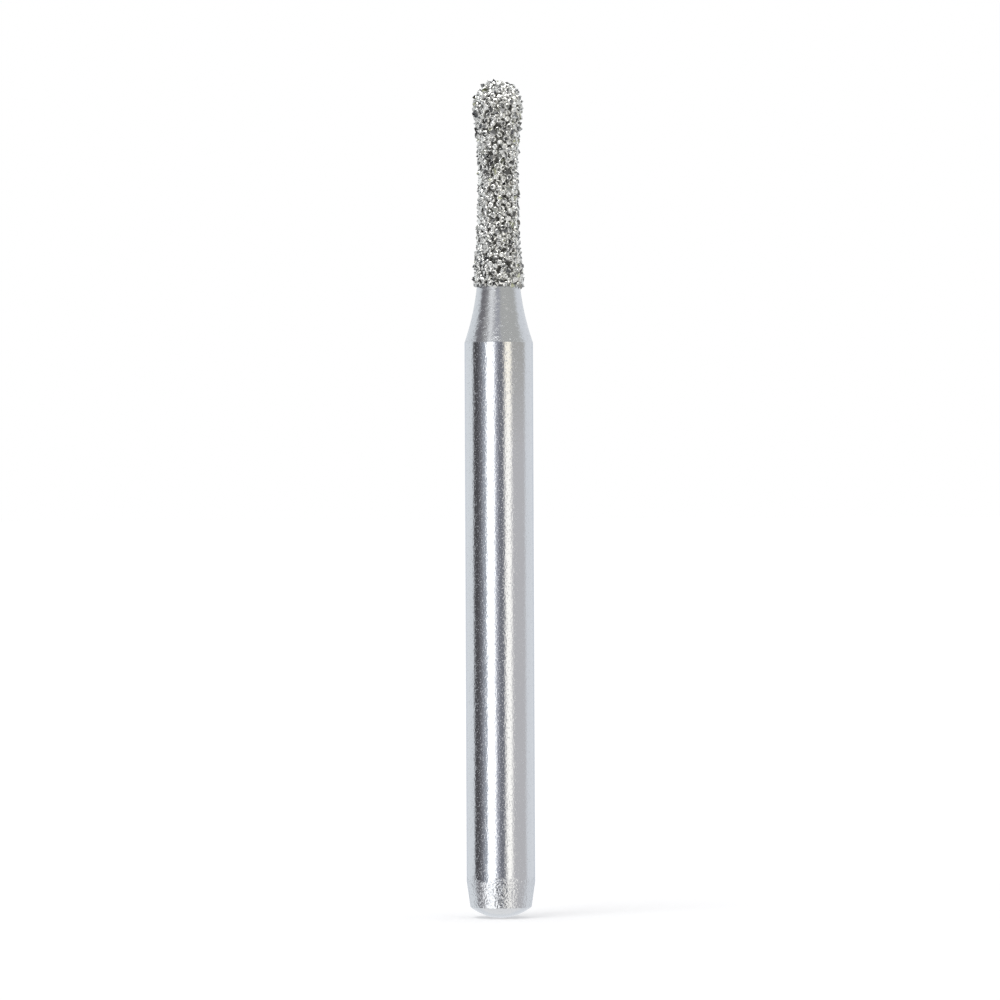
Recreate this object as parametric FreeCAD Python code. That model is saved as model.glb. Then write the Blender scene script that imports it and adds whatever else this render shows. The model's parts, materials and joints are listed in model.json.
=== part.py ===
"""A friction-grip diamond bur: a turned steel blank with diamond crystals held in plated nickel on its head.

Millimetres. The bur stands along +Z with its tip up. The origin is on its axis, at the tail's lowest point.
"""

import FreeCAD, Part
import math
import os
import random
from collections import namedtuple
from dataclasses import dataclass

# Turned steel blank, from the tail up
SHANK_DIAMETER = 1.60
SHANK_LENGTH = 13.43
TAIL_DOME_HEIGHT = 0.25
TAIL_RIM_DIAMETER = 1.43
TAIL_RIM_FILLET = 0.03
TAIL_TAPER_LENGTH = 0.60
NECK_LENGTH = 1.30

# Steel core of the waisted head. Its heights are above the collar: the neck's top, where the plating begins
COLLAR_DIAMETER = 1.015
WAIST_DIAMETER = 0.74
WAIST_HEIGHT = 2.56
BALL_DIAMETER = 0.96
HEAD_HEIGHT = 4.725

# Plated nickel, which holds one layer of crystals. It thins out to its lower edge, past the last of them
NICKEL_THICKNESS = 0.07
NICKEL_EDGE_THICKNESS = 0.02
NICKEL_EDGE_WIDTH = 0.12
NICKEL_UNDER_CRYSTALS = 0.006

# Diamond crystals, one at each site of a lattice of rows around the head. A gap is the nickel between two
# of them, a height is what stands proud, and a crown is the flat on top, as a share of the crystal's width
CRYSTAL_PITCH = 0.208
CRYSTAL_LEAST_GAP = 0.008
CRYSTAL_MOST_GAP = 0.045
CRYSTAL_LEAST_HEIGHT = 0.030
CRYSTAL_MOST_HEIGHT = 0.060
CROWN_LEAST_SHARE = 0.45
CROWN_MOST_SHARE = 0.75
CROWN_CORNERS = 3
SITE_WANDER_SHARE = 0.14
FEWEST_SITES_IN_A_ROW = 3
SEED = 11

AXIS = FreeCAD.Vector(0, 0, 1)
FULL_TURN = 2 * math.pi
ROUNDING = 1e-6
SHOULDER_Z = SHANK_LENGTH
COLLAR_Z = SHOULDER_Z + NECK_LENGTH
WAIST_Z = COLLAR_Z + WAIST_HEIGHT
BALL_Z = COLLAR_Z + HEAD_HEIGHT - BALL_DIAMETER / 2

# An arc of the half outline about (r, z), between two angles. A hollow one has its centre outside the metal
Stretch = namedtuple("Stretch", "r z radius start end hollow")


@dataclass(eq=False)
class Site:
    """A place for a crystal: its angle about the axis, its point on the nickel, and the way out of it."""

    angle: float
    point: FreeCAD.Vector
    outward: FreeCAD.Vector


def outline_point(stretch, angle):
    """The point of a stretch at an angle of its circle, in the XZ plane."""
    return FreeCAD.Vector(
        stretch.r + stretch.radius * math.cos(angle),
        0,
        stretch.z + stretch.radius * math.sin(angle),
    )


def outline_edge(stretch):
    """A stretch as an arc edge."""
    middle = (stretch.start + stretch.end) / 2
    points = [outline_point(stretch, a) for a in (stretch.start, middle, stretch.end)]
    return Part.Arc(*points).toShape()


def head_outline(thickness):
    """The head's half outline from tip to collar, at a thickness outside the steel: ball and two waist arcs.

    The upper waist arc is tangent to the ball, and both are upright where they meet at the waist.
    """
    ball, waist, collar = (d / 2 for d in (BALL_DIAMETER, WAIST_DIAMETER, COLLAR_DIAMETER))
    above, below = BALL_Z - WAIST_Z, WAIST_Z - COLLAR_Z
    upper = (waist**2 + above**2 - ball**2) / (2 * (ball - waist))
    lower = ((collar - waist) ** 2 + below**2) / (2 * (collar - waist))
    upper_turn = math.asin(above / (upper + ball))
    lower_turn = math.asin(below / lower)
    return [
        Stretch(0, BALL_Z, ball + thickness, math.pi / 2, -upper_turn, False),
        Stretch(waist + upper, WAIST_Z, upper - thickness, math.pi - upper_turn, math.pi, True),
        Stretch(waist + lower, WAIST_Z, lower - thickness, math.pi, math.pi + lower_turn, True),
    ]


def stretch_length(stretch):
    """The length of a stretch along its arc."""
    return abs(stretch.end - stretch.start) * stretch.radius


def along_outline(outline, distance):
    """The point at a distance from the tip along an outline, and the direction out of the surface there."""
    for stretch in outline:
        length = stretch_length(stretch)
        if distance <= length or stretch is outline[-1]:
            angle = stretch.start + (stretch.end - stretch.start) * distance / length
            outward = FreeCAD.Vector(math.cos(angle), 0, math.sin(angle))
            return outline_point(stretch, angle), outward * (-1 if stretch.hollow else 1)
        distance -= length


def neck_edge(shoulder, collar):
    """The neck's arc up from the shoulder, which runs on into the head's lower waist without a corner."""
    lower_waist = head_outline(0)[-1]
    towards_centre = FreeCAD.Vector(lower_waist.r, 0, lower_waist.z) - collar
    towards_centre.normalize()
    chord = shoulder - collar
    radius = chord.dot(chord) / (2 * chord.dot(towards_centre))
    centre = collar + towards_centre * radius
    middle = (shoulder + collar) / 2 - centre
    middle.normalize()
    return Part.Arc(shoulder, centre + middle * radius, collar).toShape()


def turned(edges):
    """The solid that a closed half outline makes, turned once around the axis."""
    return Part.Face(Part.Wire(edges)).revolve(FreeCAD.Vector(), AXIS, 360)


def steel_blank():
    """The blank, in one piece: domed and tapered tail, ground shank, flared neck and the head's core."""
    shank, rim = SHANK_DIAMETER / 2, TAIL_RIM_DIAMETER / 2
    dome_radius = (rim**2 + TAIL_DOME_HEIGHT**2) / (2 * TAIL_DOME_HEIGHT)
    half_turn = math.asin(rim / dome_radius) / 2
    tail = FreeCAD.Vector()
    dome_side = FreeCAD.Vector(
        dome_radius * math.sin(half_turn), 0, dome_radius * (1 - math.cos(half_turn))
    )
    rim_corner = FreeCAD.Vector(rim, 0, TAIL_DOME_HEIGHT)
    shank_foot = FreeCAD.Vector(shank, 0, TAIL_DOME_HEIGHT + TAIL_TAPER_LENGTH)
    shoulder = FreeCAD.Vector(shank, 0, SHOULDER_Z)
    collar = FreeCAD.Vector(COLLAR_DIAMETER / 2, 0, COLLAR_Z)
    tip = FreeCAD.Vector(0, 0, BALL_Z + BALL_DIAMETER / 2)
    blank = turned(
        [
            Part.Arc(tail, dome_side, rim_corner).toShape(),
            Part.makeLine(rim_corner, shank_foot),
            Part.makeLine(shank_foot, shoulder),
            neck_edge(shoulder, collar),
        ]
        + [outline_edge(stretch) for stretch in reversed(head_outline(0))]
        + [Part.makeLine(tip, tail)]
    )
    rim_edges = [e for e in blank.Edges if is_ring_at(e, TAIL_DOME_HEIGHT)]
    return blank.makeFillet(TAIL_RIM_FILLET, rim_edges)


def is_ring_at(edge, height):
    """Whether an edge is a circle around the axis at a height."""
    box = edge.BoundBox
    return edge.isClosed() and abs(box.ZMin - height) < ROUNDING and box.ZLength < ROUNDING


def around(flat, angle):
    """A vector of the XZ plane, turned about the axis."""
    return FreeCAD.Vector(flat.x * math.cos(angle), flat.x * math.sin(angle), flat.z)


def site_rows(rng):
    """Rows of sites from the tip down, each as full as its pitch allows, and a row along the nickel's edge."""
    outline = head_outline(NICKEL_THICKNESS)
    reach = sum(stretch_length(s) for s in outline) - NICKEL_EDGE_WIDTH
    row_count = round(reach / (CRYSTAL_PITCH * math.sqrt(3) / 2))
    row_step = reach / row_count
    tip, straight_up = along_outline(outline, 0)
    rows = [[Site(0.0, tip, straight_up)]]
    for row in range(1, row_count + 1):
        level = along_outline(outline, row * row_step)[0]
        count = max(FEWEST_SITES_IN_A_ROW, round(FULL_TURN * level.x / CRYSTAL_PITCH))
        first = rng.uniform(0, FULL_TURN / count)
        sites = []
        for k in range(count):
            angle = first + FULL_TURN * (k + wander(rng)) / count
            down = 0 if row == row_count else wander(rng)
            flat, outward = along_outline(outline, (row + down) * row_step)
            sites.append(Site(angle, around(flat, angle), around(outward, angle)))
        rows.append(sites)
    return rows + [edge_row(len(rows[-1]), rng)]


def wander(rng):
    """How far a site strays from its even place, as a share of the step between places."""
    return rng.uniform(-SITE_WANDER_SHARE, SITE_WANDER_SHARE)


def edge_row(count, rng):
    """Even points along the nickel's lower edge, so far out that the lines between them clear the steel."""
    radius = (COLLAR_DIAMETER / 2 + NICKEL_EDGE_THICKNESS) / math.cos(math.pi / count)
    first = rng.uniform(0, FULL_TURN / count)
    flat = FreeCAD.Vector(radius, 0, COLLAR_Z)
    sideways = FreeCAD.Vector(1, 0, 0)
    angles = [first + FULL_TURN * k / count for k in range(count)]
    return [Site(a, around(flat, a), around(sideways, a)) for a in angles]


def stitched(upper, lower):
    """Triangles that join a row of sites to the next one down, all turned one way, seen from outside."""
    if len(upper) == 1:
        return [(upper[0], a, b) for a, b in zip(lower, lower[1:] + lower[:1])]
    start = min(range(len(lower)), key=lambda k: abs(turn_between(upper[0].angle, lower[k].angle)))
    lower = lower[start:] + lower[:start]
    base = upper[0].angle
    upper_turns = [(s.angle - base) % FULL_TURN for s in upper] + [FULL_TURN]
    lead = turn_between(base, lower[0].angle)
    lower_turns = [lead + (s.angle - lower[0].angle) % FULL_TURN for s in lower]
    lower_turns.append(lead + FULL_TURN)
    triangles, i, j = [], 0, 0
    while i < len(upper) or j < len(lower):
        here, below = upper[i % len(upper)], lower[j % len(lower)]
        if j == len(lower) or (i < len(upper) and upper_turns[i + 1] <= lower_turns[j + 1]):
            i += 1
            triangles.append((here, below, upper[i % len(upper)]))
        else:
            j += 1
            triangles.append((here, below, lower[j % len(lower)]))
    return triangles


def turn_between(first, second):
    """The shorter turn from one angle to another."""
    return (second - first + math.pi) % FULL_TURN - math.pi


def facet(*corners):
    """A flat face with these corners."""
    return Part.Face(Part.makePolygon([*corners, corners[0]]))


def in_order(following):
    """The keys of a loop, where each key is stored with the one that follows it."""
    loop = [next(iter(following))]
    while following[loop[-1]] is not loop[0]:
        loop.append(following[loop[-1]])
    return loop


def crystal(site, rim, foot, rng):
    """A blocky crystal on its rim: a three-cornered crown stands proud, and a pyramid fills the pocket."""
    height = rng.uniform(CRYSTAL_LEAST_HEIGHT, CRYSTAL_MOST_HEIGHT)
    corner_of = [CROWN_CORNERS * k // len(rim) for k in range(len(rim))]
    crown = []
    for corner in range(CROWN_CORNERS):
        share = rng.uniform(CROWN_LEAST_SHARE, CROWN_MOST_SHARE)
        outward = rim[corner_of.index(corner)] - site.point
        crown.append(site.point + outward * share + site.outward * height)
    facets = [facet(*crown)]
    for k, left in enumerate(rim):
        after = (k + 1) % len(rim)
        here, there = corner_of[k], corner_of[after]
        facets += [facet(left, rim[after], crown[here]), facet(rim[after], left, foot)]
        if here != there:
            facets.append(facet(crown[here], rim[after], crown[there]))
    return Part.Solid(Part.Shell(facets))


def coated_head(core):
    """The nickel with a pocket for each crystal, and the crystals that fill the pockets.

    Each triangle of the lattice loses its corners to the crystals there, and the rest is a facet of nickel.
    The cuts around a site are the crystal's rim, and its pocket narrows from there to just above the steel.
    """
    rng = random.Random(SEED)
    rows = site_rows(rng)
    crystal_sites = [site for row in rows[:-1] for site in row]
    depth = NICKEL_THICKNESS - NICKEL_UNDER_CRYSTALS
    feet = {site: site.point - site.outward * depth for site in crystal_sites}
    neighbours = {site: {} for site in crystal_sites}
    rims = {}

    def rim_point(site, neighbour):
        if (site, neighbour) not in rims:
            between = neighbour.point - site.point
            gap = rng.uniform(CRYSTAL_LEAST_GAP, CRYSTAL_MOST_GAP)
            rims[site, neighbour] = site.point + between * ((1 - gap / between.Length) / 2)
        return rims[site, neighbour]

    facets = [facet(*[site.point for site in rows[-1]])]
    for triangle in (t for pair in zip(rows, rows[1:]) for t in stitched(*pair)):
        outline = []
        for site, after, before in zip(triangle, triangle[1:] + triangle[:1], triangle[2:] + triangle[:2]):
            if site in feet:
                left, right = rim_point(site, before), rim_point(site, after)
                outline += [left, right]
                facets.append(facet(left, right, feet[site]))
                neighbours[site][before] = after
            else:
                outline.append(site.point)
        facets.append(facet(*outline))
    nickel = Part.Solid(Part.Shell(facets)).cut(core)
    crystals = [
        crystal(site, [rims[site, n] for n in in_order(neighbours[site])], feet[site], rng)
        for site in crystal_sites
    ]
    return nickel, Part.Compound(crystals)


def main():
    """Builds each piece and writes it to its own file."""
    blank = steel_blank()
    nickel, crystals = coated_head(blank)
    os.makedirs("parts", exist_ok=True)
    pieces = {"steel_blank": blank, "nickel_bond": nickel, "diamond_grit": crystals}
    for name, shape in pieces.items():
        shape.exportStep(f"parts/{name}.step")
        print(name, len(shape.Solids), "solids", len(shape.Faces), "faces", round(shape.Volume, 4), "mm3")


main()
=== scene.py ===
# %% [markdown]
# # A diamond bur, from the steel blank to the grit
#
# A friction-grip bur is a steel pin that a dentist's turbine spins. It is two centimetres long and as thick
# as a pencil lead, so this scene works at the scale of a close-up lens: every size below is given in
# millimetres. The blank is turned and ground from one bar, its head is plated with nickel, and the nickel
# holds diamonds.
#
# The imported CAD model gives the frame. Its pieces are exact but meshed coarsely, so each one gets a finer
# twin here, at the same size and place, with the finish that its maker gives it.

# %% Load the frame
import json
import math
import random

import bmesh
import bpy
from mathutils import Euler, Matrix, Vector, noise

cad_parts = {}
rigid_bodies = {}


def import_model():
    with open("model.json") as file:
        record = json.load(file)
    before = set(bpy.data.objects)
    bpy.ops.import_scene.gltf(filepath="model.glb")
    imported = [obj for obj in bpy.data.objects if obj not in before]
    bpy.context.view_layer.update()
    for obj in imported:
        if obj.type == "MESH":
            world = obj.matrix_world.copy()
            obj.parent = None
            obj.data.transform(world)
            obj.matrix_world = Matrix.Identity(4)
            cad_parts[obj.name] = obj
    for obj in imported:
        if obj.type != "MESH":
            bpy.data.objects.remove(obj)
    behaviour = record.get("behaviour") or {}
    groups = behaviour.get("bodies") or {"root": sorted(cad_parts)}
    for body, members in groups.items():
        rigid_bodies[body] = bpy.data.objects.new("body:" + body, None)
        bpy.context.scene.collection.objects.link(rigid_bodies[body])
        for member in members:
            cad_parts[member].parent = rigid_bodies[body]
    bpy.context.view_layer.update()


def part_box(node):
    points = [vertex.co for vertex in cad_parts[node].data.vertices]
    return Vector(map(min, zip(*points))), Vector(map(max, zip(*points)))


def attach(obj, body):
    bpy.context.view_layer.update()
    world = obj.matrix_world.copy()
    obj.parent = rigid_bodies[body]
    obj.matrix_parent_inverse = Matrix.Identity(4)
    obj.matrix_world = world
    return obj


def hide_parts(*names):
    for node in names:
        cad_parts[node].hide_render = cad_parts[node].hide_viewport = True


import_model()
MM = 0.001

# %% [markdown]
# ## Sizes
#
# What the frame can say is read from it: the shank's radius, the height where the plating starts, and the
# tip. The rest of the outline repeats the blank's drawing, so that the fine meshes lie on the coarse ones.

# %% Read the frame and name the sizes, all in millimetres
steel_low, steel_high = (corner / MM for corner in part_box("steel_blank"))
collar_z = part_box("nickel_bond")[0].z / MM
shank_radius = steel_high.x
tip_z = steel_high.z

TAIL_DOME_HEIGHT = 0.25
TAIL_RIM_RADIUS = 0.715
TAIL_RIM_FILLET = 0.03
TAIL_TAPER_LENGTH = 0.60
NECK_LENGTH = 1.30
COLLAR_RADIUS = 0.5075
WAIST_RADIUS = 0.37
WAIST_HEIGHT = 2.56
BALL_RADIUS = 0.48

shoulder_z = collar_z - NECK_LENGTH
taper_top_z = TAIL_DOME_HEIGHT + TAIL_TAPER_LENGTH
waist_z = collar_z + WAIST_HEIGHT
ball_z = tip_z - BALL_RADIUS
print(f"shank radius {shank_radius:.3f}, shoulder {shoulder_z:.2f}, collar {collar_z:.2f}, tip {tip_z:.3f}")

# %% [markdown]
# ## Turning an outline
#
# Everything on a lathe is an outline and an axis. An arc is stepped into short chords, and the outline is
# turned once round the Z axis. Blender's Screw modifier could do it too, but plain loops give the poles one
# point each, so the mesh is closed from the start and its faces all point outwards.

# %% Arcs, lines and spun meshes
def arc(centre_r, centre_z, radius, start, end, step):
    """Points of an arc about (centre_r, centre_z), no further apart than step, both ends included."""
    count = max(2, math.ceil(abs(end - start) * radius / step))
    angles = [start + (end - start) * k / count for k in range(count + 1)]
    return [(centre_r + radius * math.cos(a), centre_z + radius * math.sin(a)) for a in angles]


def line(start, end, step):
    """Points of a straight stretch, no further apart than step, both ends included."""
    count = max(1, math.ceil(math.dist(start, end) / step))
    return [tuple(s + (e - s) * k / count for s, e in zip(start, end)) for k in range(count + 1)]


def joined(*stretches):
    """One outline from stretches that share their end points."""
    points = list(stretches[0])
    for stretch in stretches[1:]:
        points += stretch[1:]
    return points


def placed(name, data):
    """A new object in the scene that shows a mesh, a lamp or a camera."""
    obj = bpy.data.objects.new(name, data)
    bpy.context.scene.collection.objects.link(obj)
    return obj


def spun(name, outline, segments, worked=None):
    """A closed mesh object: an outline in millimetres, from pole to pole, turned round the Z axis.

    worked gives a point's own radius from its radius, height and turn, for what isn't quite round.
    """
    points = []
    for radius, height in outline[1:-1]:
        for k in range(segments):
            turn = 2 * math.pi * k / segments
            r = worked(radius, height, turn) if worked else radius
            points.append((r * math.cos(turn) * MM, r * math.sin(turn) * MM, height * MM))
    rings = len(outline) - 2
    first, last = len(points), len(points) + 1
    points += [(0, 0, outline[0][1] * MM), (0, 0, outline[-1][1] * MM)]
    faces = []
    for k in range(segments):
        after = (k + 1) % segments
        faces.append((first, after, k))
        for ring in range(rings - 1):
            low, high = ring * segments, (ring + 1) * segments
            faces.append((low + k, low + after, high + after, high + k))
        top = (rings - 1) * segments
        faces.append((top + k, top + after, last))
    mesh = bpy.data.meshes.new(name)
    mesh.from_pydata(points, [], faces)
    return placed(name, mesh)


# %% [markdown]
# ## Colours and nodes
#
# A colour is written as the sRGB hex value that a colour picker shows, and one function turns it to the
# linear numbers that Blender works in. One more function adds a node to any tree, shader or geometry, with
# its settings and links, and a shorter one adds it and gives the socket that the next node is fed with.
# Patterns are given as real sizes, and a Noise Texture's scale is one over that size in metres.

# %% Helpers for colours and nodes
def linear(hex_colour, level=1.0):
    """An sRGB hex colour as linear RGBA, at a level of brightness."""
    parts = [int(hex_colour[k : k + 2], 16) / 255 for k in (1, 3, 5)]
    parts = [p / 12.92 if p <= 0.04045 else ((p + 0.055) / 1.055) ** 2.4 for p in parts]
    return [p * level for p in parts] + [1.0]


def fill(tree, node, inputs):
    """Sets a node's inputs. Each is a value, or the socket that feeds it."""
    for key, value in inputs.items():
        if isinstance(key, int):
            socket = node.inputs[key]
        else:
            socket = next(s for s in node.inputs if s.name == key and s.enabled)
        if isinstance(value, bpy.types.NodeSocket):
            tree.links.new(value, socket)
        else:
            socket.default_value = value


def add(tree, kind, settings=None, inputs=None):
    """Adds a node with its settings and inputs."""
    node = tree.nodes.new(kind)
    for name, value in (settings or {}).items():
        setattr(node, name, value)
    fill(tree, node, inputs or {})
    return node


def feed(tree, kind, settings=None, inputs=None):
    """Adds a node and gives its first output in use, because some nodes hide one for each kind of value."""
    return next(socket for socket in add(tree, kind, settings, inputs).outputs if socket.enabled)


def calc(tree, operation, first, second):
    """What a Math node makes of two numbers."""
    return feed(tree, "ShaderNodeMath", {"operation": operation}, {0: first, 1: second})


def per(size_mm):
    """The scale of a texture whose pattern repeats about every size_mm."""
    return 1 / (size_mm * MM)


def steps(tree, value, wanted):
    """A colour ramp without blends, from pairs of a position and a hex colour."""
    ramp = add(tree, "ShaderNodeValToRGB", inputs={"Fac": value})
    ramp.color_ramp.interpolation = "CONSTANT"
    stops = ramp.color_ramp.elements
    for number, (position, colour) in enumerate(wanted):
        stop = stops[number] if number < 2 else stops.new(position)
        stop.position = position
        stop.color = linear(colour)
    return ramp.outputs[0]


def new_material(name):
    """A material, its tree and its Principled shader."""
    material = bpy.data.materials.new(name)
    material.use_nodes = True
    return material, material.node_tree, material.node_tree.nodes["Principled BSDF"]


# %% [markdown]
# ## Stainless steel, three ways
#
# The bar is one steel, but each stretch was finished by another machine. The shank is centreless ground and
# polished, so it mirrors the studio, with faint streaks along it and small frosted specks where the polish
# missed. The neck was left as the lathe tool cut it, satin and finely grained. The tail's taper was tumbled
# with stones, which left it bright but dented. The colour is the same three times, and only roughness and
# bump differ, because that is all that a finish changes in a bare metal. Real specks are a few thousandths
# of a millimetre wide, and a picture of the whole bur can't hold those, so they are drawn as coarse as its
# pixels need.

# %% Steel finishes
STAINLESS = "#D2D4D7"
FROST_STARTS = 0.54
FROST_IS_FULL = 0.66


def stainless(name, shine, specks, *layers):
    """Bare stainless steel, whose roughness goes from clean to frosted over small specks.

    Shine is the roughness of clean and of frosted steel. Specks and layers are noise: the size in mm, how
    X, Y and Z stretch it, and a layer's height in mm.
    """
    material, tree, shader = new_material(name)
    place = add(tree, "ShaderNodeTexCoord").outputs["Object"]

    def grain(size, stretch):
        spot = feed(tree, "ShaderNodeMapping", inputs={"Vector": place, "Scale": stretch})
        return feed(tree, "ShaderNodeTexNoise", inputs={"Vector": spot, "Scale": per(size), "Detail": 1.0})

    clean, frosted = shine
    frost = {"Value": grain(*specks), 1: FROST_STARTS, 2: FROST_IS_FULL, 3: clean, 4: frosted}
    finish = {"Base Color": linear(STAINLESS), "Metallic": 1.0}
    finish["Roughness"] = feed(tree, "ShaderNodeMapRange", inputs=frost)
    for size, stretch, height in layers:
        bump = {"Height": grain(size, stretch), "Distance": height * MM, "Strength": 1.0}
        if "Normal" in finish:
            bump["Normal"] = finish["Normal"]
        finish["Normal"] = feed(tree, "ShaderNodeBump", inputs=bump)
    fill(tree, shader, finish)
    return material


ground_steel = stainless(
    "centreless_ground_stainless",
    (0.04, 0.42),
    (0.032, (1, 1, 0.8)),
    (0.15, (1, 1, 0.3), 0.002),
    (0.04, (1, 1, 0.6), 0.003),
)
turned_steel = stainless(
    "turned_stainless",
    (0.2, 0.38),
    (0.06, (0.5, 0.5, 1)),
    (0.09, (0.6, 0.6, 1.4), 0.008),
    (0.05, (0.6, 0.6, 1.4), 0.004),
)
tumbled_steel = stainless(
    "tumbled_stainless",
    (0.2, 0.45),
    (0.045, (1, 1, 1)),
    (0.12, (1, 1, 1), 0.006),
    (0.045, (1, 1, 1), 0.013),
)
steel_finishes = (ground_steel, turned_steel, tumbled_steel)
print("steel finishes:", [material.name for material in steel_finishes])

# %% [markdown]
# ## The head's outline
#
# The coated head is slimmest a little above its middle. Three arcs draw it, and each runs into the next
# without a corner: one widens down to the collar, one widens up to the ball, and the ball itself rounds the
# tip. A greater thickness moves all three outwards together, as plating does.

# %% Draw the head's outline
WAIST_TO_BALL = ball_z - waist_z
WAIST_TO_COLLAR = waist_z - collar_z
upper_radius = (WAIST_RADIUS**2 + WAIST_TO_BALL**2 - BALL_RADIUS**2) / (2 * (BALL_RADIUS - WAIST_RADIUS))
flare = COLLAR_RADIUS - WAIST_RADIUS
lower_radius = (flare**2 + WAIST_TO_COLLAR**2) / (2 * flare)
upper_turn = math.asin(WAIST_TO_BALL / (upper_radius + BALL_RADIUS))
lower_turn = math.asin(WAIST_TO_COLLAR / lower_radius)


def head_outline(thickness, step):
    """The head's outline from the collar up to the tip, at a thickness outside the steel."""
    lower_centre = WAIST_RADIUS + lower_radius
    upper_centre = WAIST_RADIUS + upper_radius
    return joined(
        arc(lower_centre, waist_z, lower_radius - thickness, math.pi + lower_turn, math.pi, step),
        arc(upper_centre, waist_z, upper_radius - thickness, math.pi, math.pi - upper_turn, step),
        arc(0, ball_z, BALL_RADIUS + thickness, -upper_turn, math.pi / 2, step),
    )


HIDDEN_STEP = 0.2
head_core = head_outline(0, HIDDEN_STEP)
print(f"waist arcs of {lower_radius:.1f} and {upper_radius:.1f} mm radius")

# %% [markdown]
# ## The steel blank
#
# The outline runs from the tail's dome up to the tip, which the plating hides. The dome meets the taper in
# a small rim, and the neck's arc leaves the shoulder at a corner but runs into the head without one. Where
# the tail was tumbled, the mesh is fine enough to hold its dents.

# %% Draw the blank's outline
FINE_STEP = 0.02
PLAIN_STEP = 0.6
FINE_STEPS_ABOVE_TAPER = 15
HALVINGS = 60

dome_radius = (TAIL_RIM_RADIUS**2 + TAIL_DOME_HEIGHT**2) / (2 * TAIL_DOME_HEIGHT)
taper_turn = math.atan2(shank_radius - TAIL_RIM_RADIUS, TAIL_TAPER_LENGTH)


def rim_fillet_centre():
    """Where a ball of the fillet's radius rests inside the corner between the dome and the taper."""
    low, high = 0.0, TAIL_RIM_RADIUS
    for _ in range(HALVINGS):
        r = (low + high) / 2
        z = dome_radius - math.sqrt((dome_radius - TAIL_RIM_FILLET) ** 2 - r**2)
        wall = TAIL_RIM_RADIUS + (z - TAIL_DOME_HEIGHT) * math.tan(taper_turn)
        if (wall - r) * math.cos(taper_turn) > TAIL_RIM_FILLET:
            low = r
        else:
            high = r
    return r, z


fillet_r, fillet_z = rim_fillet_centre()
fillet_start = math.atan2(fillet_z - dome_radius, fillet_r)
fillet = arc(fillet_r, fillet_z, TAIL_RIM_FILLET, fillet_start, -taper_turn, FINE_STEP / 3)
taper_top = (shank_radius, taper_top_z)
above_taper = (shank_radius, taper_top_z + FINE_STEPS_ABOVE_TAPER * FINE_STEP)

collar = Vector((COLLAR_RADIUS, collar_z))
shoulder = Vector((shank_radius, shoulder_z))
chord = shoulder - collar
towards = (Vector((WAIST_RADIUS + lower_radius, waist_z)) - collar).normalized()
neck_radius = chord.dot(chord) / (2 * chord.dot(towards))
neck_centre = collar + towards * neck_radius
neck_turns = [
    math.atan2(p.y - neck_centre.y, p.x - neck_centre.x) % (2 * math.pi) for p in (shoulder, collar)
]

blank_outline = joined(
    arc(0, dome_radius, dome_radius, -math.pi / 2, fillet_start, FINE_STEP),
    fillet,
    line(fillet[-1], taper_top, FINE_STEP),
    line(taper_top, above_taper, FINE_STEP),
    line(above_taper, tuple(shoulder), PLAIN_STEP),
    arc(neck_centre.x, neck_centre.y, neck_radius, *neck_turns, FINE_STEP),
    head_core,
)
print(len(blank_outline), f"points on the blank's outline, neck arc of {neck_radius:.1f} mm radius")

# %% Spin the blank and dent its tail
SEGMENTS = 256
DENT_SIZE = 0.10
DENT_DEPTH = 0.003
TUMBLED_EDGE_RISE = 0.1
TUMBLED_EDGE_WANDER = 0.2
TUMBLED_EDGE_WAVES = 4.1
SHARP_EDGE = math.radians(12)


def tumbled_edge(turn):
    """The height where the tumbling stops, which wanders round the shank."""
    wander = noise.noise(Vector((math.cos(turn), math.sin(turn), 0)) * TUMBLED_EDGE_WAVES)
    return taper_top_z + TUMBLED_EDGE_RISE + TUMBLED_EDGE_WANDER * wander


def dented(radius, height, turn):
    """The radius of a point of the blank after the tumbling of its tail."""
    if height > tumbled_edge(turn):
        return radius
    spot = Vector((radius * math.cos(turn), radius * math.sin(turn), height)) / DENT_SIZE
    dent = max(0, noise.noise(spot) + noise.noise(spot * 2) / 2)
    return radius - DENT_DEPTH * dent * min(1, radius / TAIL_RIM_RADIUS)


blank = spun("ground_blank", blank_outline, SEGMENTS, dented)
for material in steel_finishes:
    blank.data.materials.append(material)
for face in blank.data.polygons:
    face.use_smooth = True
    centre = face.center / MM
    if TAIL_DOME_HEIGHT < centre.z < tumbled_edge(math.atan2(centre.y, centre.x)):
        face.material_index = steel_finishes.index(tumbled_steel)
    elif centre.z > shoulder_z:
        face.material_index = steel_finishes.index(turned_steel)
blank.data.set_sharp_from_angle(angle=SHARP_EDGE)
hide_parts("steel_blank")
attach(blank, "root")
print("blank:", len(blank.data.polygons), "faces")

# %% [markdown]
# ## The skin that the nickel grows on
#
# Plating builds up evenly from the steel, so the nickel is a shell: its inside lies on the steel and its
# outside follows it. The outline goes down the inside and back up the outside, so spinning it makes a
# closed shell in one go. A number is stored at each point: 0 inside, and growing to 1 on the outside, away
# from the lower edge. The node trees read it to know where they may raise nickel or set a crystal.

# %% Spin the shell
SHELL_STEP = 0.0155
NICKEL_THICKNESS = 0.045
NICKEL_EDGE_THICKNESS = 0.012
NICKEL_EDGE_WIDTH = 0.10

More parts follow.
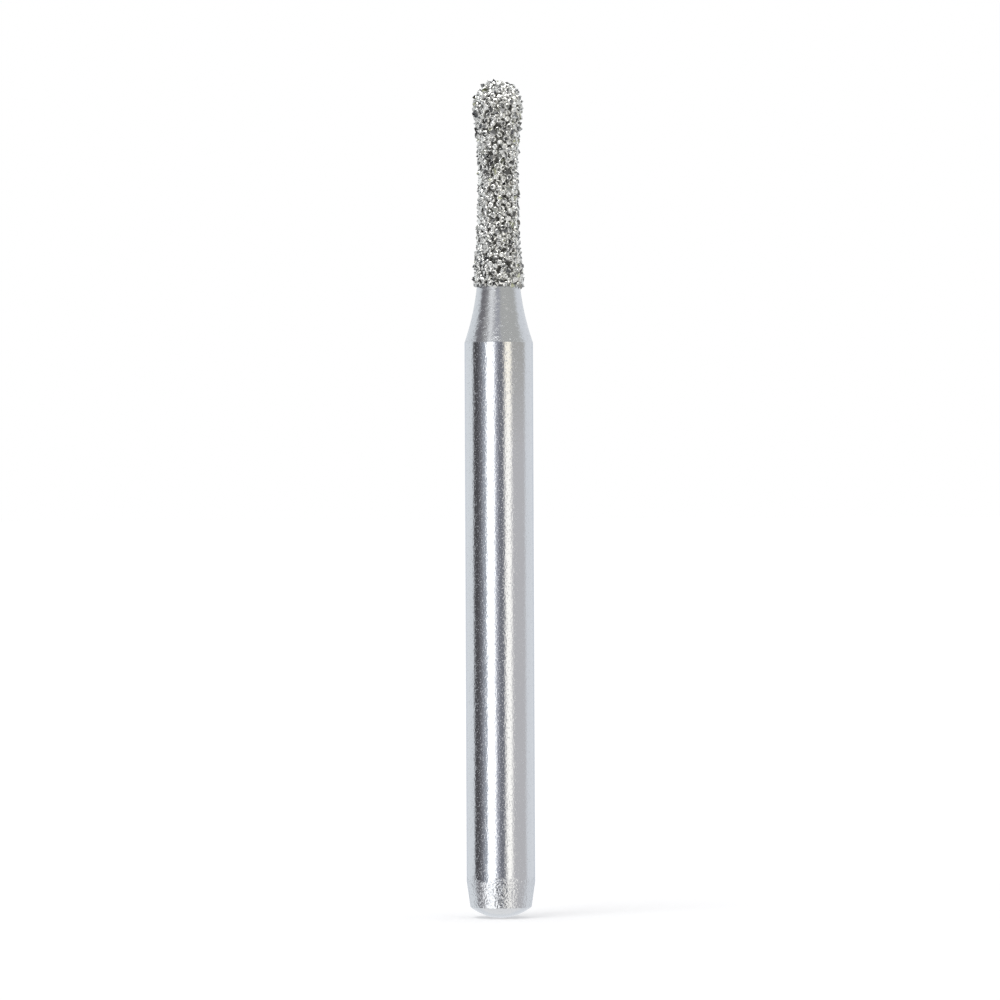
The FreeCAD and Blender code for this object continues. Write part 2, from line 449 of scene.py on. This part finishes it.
outside = []
for r, z in head_outline(NICKEL_THICKNESS, SHELL_STEP):
    inward = max(0, 1 - (z - collar_z) / NICKEL_EDGE_WIDTH) ** 2
    outside.append((r - (NICKEL_THICKNESS - NICKEL_EDGE_THICKNESS) * inward, z))
outside[-1] = (0, outside[-1][1])
shell = spun("shell_for_nickel", head_core[::-1] + outside, SEGMENTS)
skin = shell.data.attributes.new("skin", "FLOAT", "POINT")
outside_start = (len(head_core) - 1) * SEGMENTS
inner_tip = len(shell.data.vertices) - 2
for vertex in shell.data.vertices:
    if vertex.index >= outside_start and vertex.index != inner_tip:
        skin.data[vertex.index].value = min(1, (vertex.co.z / MM - collar_z) / NICKEL_EDGE_WIDTH)
print("shell:", len(shell.data.polygons), "faces")

# %% [markdown]
# ## Crystals to choose from
#
# Crushed diamond for tools is blocky: cubes, cubes with their corners cut off, octahedra, and what is left
# of them after the mill. A few shapes are enough, because each copy is turned and stretched another way.
# Each is the hull of a solid's corners, which were moved by chance, so it has flat facets and a few dozen
# faces at most.

# %% Make a few blocky crystals
SHAPES = 6
SHAPES_SEED = 7
CORNER_WANDER = 0.25
FLAT_ENOUGH = math.radians(18)
CUBE_SIZE = 0.62
CUT_CUBE_SIZE = 0.71
OCTAHEDRON_SIZE = 1.15
ends = (-1, 1)
cube = [Vector((a, b, c)) * CUBE_SIZE for a in ends for b in ends for c in ends]
cut_cube = [Vector(p) * CUT_CUBE_SIZE for a in ends for b in ends for p in ((a, b, 0), (a, 0, b), (0, a, b))]
octahedron = [Vector(p) * OCTAHEDRON_SIZE for a in ends for p in ((a, 0, 0), (0, a, 0), (0, 0, a))]
rng = random.Random(SHAPES_SEED)
crystal_shapes = bpy.data.collections.new("crystal_shapes")
for number in range(SHAPES):
    tool = bmesh.new()
    for corner in (cube, cut_cube, octahedron)[number % 3]:
        moved = [c + rng.uniform(-CORNER_WANDER, CORNER_WANDER) for c in corner]
        tool.verts.new(moved)
    hull = bmesh.ops.convex_hull(tool, input=tool.verts)
    bmesh.ops.delete(tool, geom=hull["geom_interior"], context="VERTS")
    bmesh.ops.dissolve_limit(tool, angle_limit=FLAT_ENOUGH, verts=tool.verts, edges=tool.edges)
    bmesh.ops.recalc_face_normals(tool, faces=tool.faces)
    mesh = bpy.data.meshes.new(f"crystal_{number}")
    tool.to_mesh(mesh)
    tool.free()
    crystal_shapes.objects.link(bpy.data.objects.new(mesh.name, mesh))

# %% [markdown]
# ## Nickel and diamond
#
# Electroplated nickel is a warm grey metal. Where it climbs a crystal's side it is smooth, and in the
# valleys between the crystals it is rougher, so the material follows a number called rise that the nickel's
# mesh carries. The same number paints the colour: a painted shade, dark grey, in the valleys, and on the
# ridges a silver brighter than nickel, which is partly a painted highlight. Its grain of tiny domes is again
# drawn as coarse as the picture's pixels need.
#
# Diamond bends light more than anything else on the bur. Tool diamond is cloudy, half clear and half milky,
# and its flashes are painted: each facet carries a random number that picks its grey, from a painted dark,
# as if the eye looked into the crystal, up to a painted white flash of light sent back. Each crystal carries
# another number that makes one in ten yellow-green.

# %% Nickel and diamond finishes, with painted shade, painted highlights and painted flashes
# The valleys' dark grey is painted shade between the crystals; the ridges' near-white is nickel silver
# raised into a painted highlight.
VALLEY_PAINTED_SHADE = "#4A4946"
RIDGE_SILVER_PAINTED_HIGHLIGHT = "#FAFAF6"
VALLEY_ROUGHNESS = 0.3
RIDGE_ROUGHNESS = 0.06
DOME_SIZE = 0.06
DOME_HEIGHT = 0.035
nickel, tree, shader = new_material("electroplated_nickel")
rise = add(tree, "ShaderNodeAttribute", {"attribute_name": "rise"}).outputs["Fac"]
painted_shade_to_highlight = {"Factor": rise, "A": linear(VALLEY_PAINTED_SHADE), "B": linear(RIDGE_SILVER_PAINTED_HIGHLIGHT)}
shine = {"Value": rise, 1: 0.0, 2: 1.0, 3: VALLEY_ROUGHNESS, 4: RIDGE_ROUGHNESS}
place = add(tree, "ShaderNodeTexCoord").outputs["Object"]
domes = feed(tree, "ShaderNodeTexNoise", inputs={"Vector": place, "Scale": per(DOME_SIZE), "Detail": 1.0})
finish = {
    "Base Color": feed(tree, "ShaderNodeMix", {"data_type": "RGBA"}, painted_shade_to_highlight),
    "Metallic": 1.0,
    "Roughness": feed(tree, "ShaderNodeMapRange", inputs=shine),
    "Normal": feed(tree, "ShaderNodeBump", inputs={"Height": domes, "Distance": DOME_HEIGHT * MM}),
}
fill(tree, shader, finish)

# The facet greys run from painted shade at the dark end to painted flashes of reflected light at the white
# end.
FACET_PAINTED_FLASH_AND_SHADE = ((0.0, "#060706"), (0.36, "#1C1D1A"), (0.52, "#5F6259"), (0.6, "#B6B9AE"), (0.66, "#FDFEFB"))
CRYSTAL_HUES = ((0.0, "#FFFFFF"), (0.9, "#DFE2B8"))
diamond, tree, shader = new_material("cloudy_tool_diamond")
tint = add(tree, "ShaderNodeAttribute", {"attribute_name": "tint"}).outputs["Fac"]
facet = add(tree, "ShaderNodeAttribute", {"attribute_name": "facet"}).outputs["Fac"]
both = {"Factor": 1.0, "A": steps(tree, facet, FACET_PAINTED_FLASH_AND_SHADE), "B": steps(tree, tint, CRYSTAL_HUES)}
colour = feed(tree, "ShaderNodeMix", {"data_type": "RGBA", "blend_type": "MULTIPLY"}, both)
finish = {"Base Color": colour, "Roughness": 0.05, "IOR": 2.42, "Transmission Weight": 0.35}
fill(tree, shader, finish)
print("coating finishes:", nickel.name, diamond.name)

# %% [markdown]
# ## Two node trees on one set of places
#
# The crystals lie close but never on top of each other, which is what Poisson disk sampling gives: random
# places with a least distance. One small tree finds those places, on the outside alone, because places on
# the inside would push away their neighbours outside. The sampler goes through the faces in their order and
# keeps a place clear round each point, so going round the head would leave a seam where the round closes.
# The faces are therefore lined up by height first, loosely, and the head fills from the collar to the tip.
# The nickel's tree raises a knob of metal at each place, and the grit's tree sets a crystal in each knob.
# Both use the same seed, so they always agree.

# %% Helpers for node trees
def new_tree(name, sizes, extra_outputs=()):
    """A geometry tree with a Geometry input and output, and one input for each named size."""
    made = bpy.data.node_groups.new(name, "GeometryNodeTree")
    made.interface.new_socket("Geometry", in_out="INPUT", socket_type="NodeSocketGeometry")
    made.interface.new_socket("Geometry", in_out="OUTPUT", socket_type="NodeSocketGeometry")
    for label, value in sizes.items():
        kind = "NodeSocketInt" if isinstance(value, int) else "NodeSocketFloat"
        made.interface.new_socket(label, in_out="INPUT", socket_type=kind)
    for label, kind in extra_outputs:
        made.interface.new_socket(label, in_out="OUTPUT", socket_type=kind)
    return made, made.nodes.new("NodeGroupInput").outputs, made.nodes.new("NodeGroupOutput").inputs


def grown(name, base, made, sizes):
    """A plain mesh object of what a tree makes of a base mesh, with the tree's inputs set first."""
    modifier = base.modifiers.new(name, "NODES")
    modifier.node_group = made
    for item in made.interface.items_tree:
        if item.in_out == "INPUT" and item.name in sizes:
            modifier[item.identifier] = sizes[item.name]
    graph = bpy.context.evaluated_depsgraph_get()
    mesh = bpy.data.meshes.new_from_object(
        base.evaluated_get(graph), preserve_all_data_layers=True, depsgraph=graph
    )
    base.modifiers.remove(modifier)
    mesh.name = name
    return placed(name, mesh)


def scaled(tree, vector, factor):
    """A vector made longer or shorter."""
    return feed(tree, "ShaderNodeVectorMath", {"operation": "SCALE"}, {0: vector, "Scale": factor})


def chance(tree, kind, least, most, seed):
    """A random value for each element, of a kind such as FLOAT, INT or FLOAT_VECTOR."""
    limits = {"Min": least, "Max": most, "Seed": seed}
    return feed(tree, "FunctionNodeRandomValue", {"data_type": kind}, limits)


def stored(tree, geometry, domain, name, value):
    """A geometry that carries a named number on each of its elements."""
    kept = {"Geometry": geometry, "Name": name, "Value": value}
    return feed(tree, "GeometryNodeStoreNamedAttribute", {"data_type": "FLOAT", "domain": domain}, kept)


# %% The places for crystals
SITE_SIZES = {"Spacing": 0.125 * MM, "Density": 4000 / MM**2, "Seed": 3}
LEAST_SKIN = 0.4
sites_tree, given, result = new_tree("crystal_sites", SITE_SIZES, [("Normal", "NodeSocketVector")])
skin_here = feed(sites_tree, "GeometryNodeInputNamedAttribute", inputs={"Name": "skin"})
enough = {"A": skin_here, "B": LEAST_SKIN}
on_skin = feed(sites_tree, "FunctionNodeCompare", {"operation": "GREATER_THAN"}, enough)
outer = feed(
    sites_tree,
    "GeometryNodeSeparateGeometry",
    {"domain": "FACE"},
    {"Geometry": given["Geometry"], "Selection": on_skin},
)
centre = feed(sites_tree, "GeometryNodeInputPosition")
height = add(sites_tree, "ShaderNodeSeparateXYZ", inputs={0: centre}).outputs["Z"]
looseness = chance(sites_tree, "FLOAT", 0.0, given["Spacing"], given["Seed"])
lined_up = feed(
    sites_tree,
    "GeometryNodeSortElements",
    {"domain": "FACE"},
    {"Geometry": outer, "Sort Weight": calc(sites_tree, "ADD", height, looseness)},
)
spread = add(
    sites_tree,
    "GeometryNodeDistributePointsOnFaces",
    {"distribute_method": "POISSON"},
    {
        "Mesh": lined_up,
        "Distance Min": given["Spacing"],
        "Density Max": given["Density"],
        "Seed": given["Seed"],
    },
)
sites_tree.links.new(spread.outputs["Points"], result["Geometry"])
sites_tree.links.new(spread.outputs["Normal"], result["Normal"])


def add_sites(tree, given):
    """Adds the tree of places to another tree, fed with that tree's inputs."""
    inputs = {key: given[key] for key in ("Geometry", *SITE_SIZES)}
    return add(tree, "GeometryNodeGroup", {"node_tree": sites_tree}, inputs).outputs


print(f"places for crystals, at least {SITE_SIZES['Spacing'] / MM:.3f} mm apart")

# %% The nickel rises round each crystal
NICKEL_SIZES = {
    **SITE_SIZES,
    "Knob height": 0.056 * MM,
    "Knob top radius": 0.046 * MM,
    "Knob foot radius": 0.09 * MM,
    "Dimple size": 0.045 * MM,
    "Dimple depth": 0.035 * MM,
}
tree, given, result = new_tree("plated_nickel", NICKEL_SIZES)
sites = add_sites(tree, given)
near = add(tree, "GeometryNodeProximity", {"target_element": "POINTS"}, {0: sites["Geometry"]})
knob = feed(
    tree,
    "ShaderNodeMapRange",
    {"interpolation_type": "SMOOTHSTEP"},
    {
        "Value": near.outputs["Distance"],
        1: given["Knob top radius"],
        2: given["Knob foot radius"],
        3: given["Knob height"],
        4: 0.0,
    },
)
dimple_scale = calc(tree, "DIVIDE", 1.0, given["Dimple size"])
dimples = feed(tree, "ShaderNodeTexNoise", inputs={"Scale": dimple_scale, "Detail": 0.0})
raised = calc(tree, "SUBTRACT", knob, calc(tree, "MULTIPLY", dimples, given["Dimple depth"]))
skin_here = feed(tree, "GeometryNodeInputNamedAttribute", inputs={"Name": "skin"})
offset = scaled(tree, feed(tree, "GeometryNodeInputNormal"), calc(tree, "MULTIPLY", raised, skin_here))
# The rise also picks the nickel's colour in its material: painted shade low in the valleys, painted
# highlight on the ridges.
marked = stored(tree, given["Geometry"], "POINT", "rise", calc(tree, "DIVIDE", knob, given["Knob height"]))
moved = feed(tree, "GeometryNodeSetPosition", inputs={"Geometry": marked, "Offset": offset})
smooth = feed(tree, "GeometryNodeSetShadeSmooth", inputs={0: moved})
whole = feed(tree, "GeometryNodeRealizeInstances", inputs={0: smooth})
finished = feed(tree, "GeometryNodeSetMaterial", inputs={0: whole, "Material": nickel})
tree.links.new(finished, result["Geometry"])

bond = grown("nickel_plating", shell, tree, NICKEL_SIZES)
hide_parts("nickel_bond")
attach(bond, "root")
print("nickel:", len(bond.data.polygons), "faces")

# %% A crystal in each knob
GRIT_SIZES = {
    **SITE_SIZES,
    "Crystal radius": 0.064 * MM,
    "Least size": 0.6,
    "Most size": 1.45,
    "Least lift": -0.008 * MM,
    "Most lift": 0.03 * MM,
}
LIFT_SEED, TURN_SEED, SIZE_SEED, CHOICE_SEED, TINT_SEED, FACET_SEED = range(10, 16)
tree, given, result = new_tree("diamond_grit", GRIT_SIZES)
sites = add_sites(tree, given)
lift = chance(tree, "FLOAT", given["Least lift"], given["Most lift"], LIFT_SEED)
offset = scaled(tree, sites["Normal"], lift)
lifted = feed(tree, "GeometryNodeSetPosition", inputs={"Geometry": sites["Geometry"], "Offset": offset})
least, most = [
    feed(tree, "ShaderNodeCombineXYZ", inputs={axis: given[label] for axis in "XYZ"})
    for label in ("Least size", "Most size")
]
stretch = chance(tree, "FLOAT_VECTOR", least, most, SIZE_SEED)
shapes = feed(
    tree,
    "GeometryNodeCollectionInfo",
    inputs={"Collection": crystal_shapes, "Separate Children": True, "Reset Children": True},
)
copies = feed(
    tree,
    "GeometryNodeInstanceOnPoints",
    inputs={
        "Points": lifted,
        "Instance": shapes,
        "Pick Instance": True,
        "Instance Index": chance(tree, "INT", 0, SHAPES - 1, CHOICE_SEED),
        "Rotation": chance(tree, "FLOAT_VECTOR", (0, 0, 0), (2 * math.pi,) * 3, TURN_SEED),
        "Scale": scaled(tree, stretch, given["Crystal radius"]),
    },
)
tinted = stored(tree, copies, "INSTANCE", "tint", chance(tree, "FLOAT", 0.0, 1.0, TINT_SEED))
whole = feed(tree, "GeometryNodeRealizeInstances", inputs={0: tinted})
# Each face gets a random number that picks its painted flash or painted shade.
flashing = stored(tree, whole, "FACE", "facet", chance(tree, "FLOAT", 0.0, 1.0, FACET_SEED))
finished = feed(tree, "GeometryNodeSetMaterial", inputs={0: flashing, "Material": diamond})
tree.links.new(finished, result["Geometry"])

grit = grown("diamond_crystals", shell, tree, GRIT_SIZES)
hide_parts("diamond_grit")
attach(grit, "root")
crystals = len({round(corner.value, 6) for corner in grit.data.attributes["tint"].data})
print("grit:", len(grit.data.polygons), "faces on", crystals, "crystals")

# The shell and the loose shapes have done their work.
for helper in (shell, *crystal_shapes.objects):
    bpy.data.objects.remove(helper)

# %% [markdown]
# ## The studio
#
# A polished pin is a mirror: it shows the room squeezed into thin stripes. So the room is what has to be
# drawn. A photographer stands panels round it, and here a ring of them is seen only in reflections and
# through the crystals. The stripe at a point of the shank shows the panel at twice the angle by which the
# surface there is turned from the camera. A room also changes with height, so the ring has five tiers: the
# tail sees the low one, the shank the level one and near its top a warmer one, the flared neck the upper
# one, and only knobs, crystals and dents catch the strong lamps overhead. A colour ramp holds each tier,
# and one tier blends into the next over a short height.
#
# Each panel is one row: its name, the turns from the camera in degrees where it starts and ends, its
# brightness and its tint. A grey or dark one is what a photographer calls a flag.

# %% The ring's sizes, and the panels of each tier from its left rear to its right rear
RING_RADIUS = 16.0
RING_BOTTOM = -16.0
RING_TOP = 160.0
LEVEL_BLEND = (-3.0, -0.5)
WARM_BLEND = (11.0, 13.8)
TIER_BLEND = (14.6, 16.0)
OVERHEAD_BLEND = (39.0, 43.0)

LOW_PANELS = (
    ("left rear wall", -180, -152, 0.95, "#F8FBFF"),
    ("left wall", -138, -100, 1.0, "#F8FCFF"),
    ("left flag", -93, -73, 0.32, "#FCF8FF"),
    ("left lamp", -52, -28, 1.7, "#FFFFFF"),
    ("front flag", -7, 14, 0.17, "#F0F2FF"),
    ("right lamp", 23, 44, 1.4, "#FFFCF6"),
    ("right wall", 49, 90, 0.62, "#FFFDFF"),
    ("right rear wall", 101, 140, 0.95, "#F8FBFF"),
    ("rear wall", 152, 179, 0.95, "#F8FBFF"),
)
LEVEL_PANELS = (
    ("left rear wall", -180, -152, 0.86, "#F2F7FF"),
    ("left wall", -138, -100, 1.0, "#F8FCFF"),
    ("left flag", -91, -76, 0.11, "#FCF8FF"),
    ("left flag's edge", -61, -61, 0.28, "#F4F4FF"),
    ("left lamp's halo", -51, -46, 0.58, "#EEF4FF"),
    ("left lamp", -38, -21, 2.2, "#FFFFFF"),
    ("left lamp's shade", -10, -10, 0.64, "#F0F2FF"),
    ("front flag", 1, 13, 0.28, "#F0F2FF"),
    ("right lamp", 24, 36, 1.5, "#FFFCF6"),
    ("right wall", 46, 90, 0.67, "#FFFDFF"),
    ("right rear wall", 101, 140, 0.98, "#F8FBFF"),
    ("rear wall", 152, 179, 0.8, "#F2F7FF"),
)
WARM = {"right lamp": (1.45, "#FFF8E8"), "right wall": (0.54, "#FFFDF8")}
WARM_PANELS = [
    (name, start, end, *WARM.get(name, (level, colour))) for name, start, end, level, colour in LEVEL_PANELS
]
UPPER_PANELS = (
    ("rear flag", -180, -172, 0.35, "#FFFFFF"),
    ("left wall", -160, -104, 0.95, "#F8FCFF"),
    ("left flag", -92, -71, 0.23, "#FCF8FF"),
    ("left lamp's halo", -49, -49, 0.54, "#FFFFFF"),
    ("left lamp", -39, -31, 1.0, "#FFFFFF"),
    ("left lamp's shade", -19, -19, 0.7, "#FFFFFF"),
    ("front flag", -12, -1, 0.5, "#F4F5FF"),
    ("right wall", 12, 84, 0.56, "#FFFFFB"),
    ("right rear wall", 100, 160, 0.95, "#F8FBFF"),
    ("rear grey", 170, 179, 0.45, "#FFFFFF"),
)
OVERHEAD_PANELS = (
    ("rear flag", -180, -150, 0.1, "#FFFFFF"),
    ("left side lamp", -128, -104, 5.0, "#FFFFFF"),
    ("left flag", -94, -76, 0.05, "#FCF8FF"),
    ("left lamp", -64, -24, 10.5, "#FFFFFF"),
    ("front flag", -14, 12, 0.05, "#F4F5FF"),
    ("right lamp", 24, 58, 6.5, "#FFFFFB"),
    ("right flag", 70, 90, 0.05, "#F8FBFF"),
    ("right side lamp", 102, 126, 5.0, "#FFFFFF"),
    ("rear grey", 150, 179, 0.1, "#FFFFFF"),
)

tiers = (
    (LEVEL_BLEND, LEVEL_PANELS),
    (WARM_BLEND, WARM_PANELS),
    (TIER_BLEND, UPPER_PANELS),
    (OVERHEAD_BLEND, OVERHEAD_PANELS),
)
print("panels:", len(LOW_PANELS), "low,", [len(higher) for _, higher in tiers], "in the tiers above")

# %% Make the panels glow
def panels(tree, turn, wanted):
    """A colour ramp round the ring: flat over each panel, and blended from one to the next."""
    ramp = add(tree, "ShaderNodeValToRGB", inputs={"Fac": turn})
    stops = ramp.color_ramp.elements
    edges = [
        (end, level, colour) for _, start, stop, level, colour in wanted for end in sorted({start, stop})
    ]
    for number, (degrees, level, colour) in enumerate(edges):
        position = 0.5 + degrees / 360
        stop = stops[number] if number < 2 else stops.new(position)
        stop.position = position
        stop.color = linear(colour, level)
    return ramp.outputs[0]


panel_glow = bpy.data.materials.new("panels_seen_in_metal")
panel_glow.use_nodes = True
tree = panel_glow.node_tree
tree.nodes.clear()
place = add(tree, "ShaderNodeTexCoord").outputs["Object"]
facing = feed(tree, "ShaderNodeMapping", inputs={"Vector": place, "Rotation": (0, 0, math.pi / 2)})
turn = add(tree, "ShaderNodeTexGradient", {"gradient_type": "RADIAL"}, {0: facing}).outputs["Fac"]
height = add(tree, "ShaderNodeSeparateXYZ", inputs={0: place}).outputs["Z"]
shown = panels(tree, turn, LOW_PANELS)
for (low, high), tier_panels in tiers:
    share = feed(tree, "ShaderNodeMapRange", inputs={"Value": height, 1: low * MM, 2: high * MM})
    both = {"Factor": share, "A": shown, "B": panels(tree, turn, tier_panels)}
    shown = feed(tree, "ShaderNodeMix", {"data_type": "RGBA"}, both)
glow = feed(tree, "ShaderNodeEmission", inputs={"Color": shown, "Strength": 1.0})
add(tree, "ShaderNodeOutputMaterial", inputs={"Surface": glow})
print(panel_glow.name, "has", len(tree.nodes), "nodes")

# %% Stand the ring round the bur
RING_SEGMENTS = 96
turns = [2 * math.pi * k / RING_SEGMENTS for k in range(RING_SEGMENTS)]
points = [
    (RING_RADIUS * math.cos(turn) * MM, RING_RADIUS * math.sin(turn) * MM, z * MM)
    for z in (RING_BOTTOM, RING_TOP)
    for turn in turns
]
faces = []
for k in range(RING_SEGMENTS):
    after = (k + 1) % RING_SEGMENTS
    faces.append((k, after, RING_SEGMENTS + after, RING_SEGMENTS + k))
mesh = bpy.data.meshes.new("panel_ring")
mesh.from_pydata(points, [], faces)
mesh.materials.append(panel_glow)
ring = placed("panel_ring", mesh)
ring.visible_camera = False
ring.visible_diffuse = False
ring.visible_shadow = False
print(f"ring of {2 * RING_RADIUS:.0f} mm across, from {RING_BOTTOM:.0f} to {RING_TOP:.0f} mm")

# %% [markdown]
# ## Floor, sky and lamp
#
# The photograph's ground is pure white. More light can't give that without burning out the steel, so the
# floor and the sky are only told to look white: the floor glows a little to the camera and to mirrors, on
# top of the light that it scatters, and so it still keeps the bur's soft shadow.

# %% The floor
FLOOR_SIZE = 6.0
FLOOR_WHITE = "#EDEDEE"
FLOOR_GLOW = 0.2


def looked_at(tree):
    """1 for a ray from the camera, a mirror or a crystal, and 0 for a ray that gathers light."""
    rays = add(tree, "ShaderNodeLightPath").outputs
    mirrored = calc(tree, "MAXIMUM", rays["Is Camera Ray"], rays["Is Glossy Ray"])
    return calc(tree, "MAXIMUM", mirrored, rays["Is Transmission Ray"])


floor_material, tree, shader = new_material("matt_white_card")
card = {
    "Base Color": linear(FLOOR_WHITE),
    "Roughness": 1.0,
    "Specular IOR Level": 0.0,
    "Emission Color": (1, 1, 1, 1),
    "Emission Strength": calc(tree, "MULTIPLY", looked_at(tree), FLOOR_GLOW),
}
fill(tree, shader, card)
mesh = bpy.data.meshes.new("floor")
half = FLOOR_SIZE / 2
corners = [(-half, -half, 0), (half, -half, 0), (half, half, 0), (-half, half, 0)]
mesh.from_pydata(corners, [], [(0, 1, 2, 3)])
mesh.materials.append(floor_material)
floor = placed("floor", mesh)
floor.visible_glossy = False
print(f"floor of {FLOOR_SIZE:.0f} m, glow {FLOOR_GLOW}")

# %% The sky and the lamp
ROOM_LEVEL = 0.85
world = bpy.data.worlds.new("white_room")
bpy.context.scene.world = world
world.use_nodes = True
tree = world.node_tree
tree.nodes.clear()
level = feed(tree, "ShaderNodeMapRange", inputs={"Value": looked_at(tree), 3: ROOM_LEVEL, 4: 1.0})
sky = feed(tree, "ShaderNodeBackground", inputs={"Color": (1, 1, 1, 1), "Strength": level})
add(tree, "ShaderNodeOutputWorld", inputs={"Surface": sky})

LAMP_FROM = Vector((-0.45, -0.5, 1.2))
LAMP_WIDTH = math.radians(24)
LAMP_SHARE = 0.16
lamp_data = bpy.data.lights.new("soft_lamp", "SUN")
lamp_data.energy = LAMP_SHARE * math.pi
lamp_data.angle = LAMP_WIDTH
lamp = placed("soft_lamp", lamp_data)
lamp.visible_glossy = False
lamp.rotation_euler = (-LAMP_FROM).to_track_quat("-Z", "Y").to_euler()
print(f"room level {ROOM_LEVEL}, lamp share {LAMP_SHARE}")

# %% [markdown]
# ## The camera
#
# The bur's rings look almost straight, so the camera is level with its middle, and far off for such a small
# thing: about 15 centimetres, with a long lens. The photograph leans by a quarter of a degree.

# %% The camera
LENS = 230.0
SENSOR = 36.0
PIXELS_PER_MM = 42.8
FRAME_PIXELS = 1000
FRAME_CENTRE = Vector((0.015, 0, 9.755))
LEAN = math.radians(0.24)

distance = FRAME_PIXELS / PIXELS_PER_MM * LENS / SENSOR
camera_data = bpy.data.cameras.new("camera")
camera_data.lens = LENS
camera_data.sensor_width = SENSOR
camera_data.clip_start = 0.001
camera_data.clip_end = 20
camera = placed("camera", camera_data)
camera.location = (FRAME_CENTRE + Vector((0, -distance, 0))) * MM
level_turn = Euler((math.pi / 2, 0, 0)).to_matrix()
camera.rotation_euler = (level_turn @ Euler((0, 0, -LEAN)).to_matrix()).to_euler()
bpy.context.scene.camera = camera
bpy.context.scene.view_settings.view_transform = "Standard"
print(f"camera {distance:.0f} mm away")
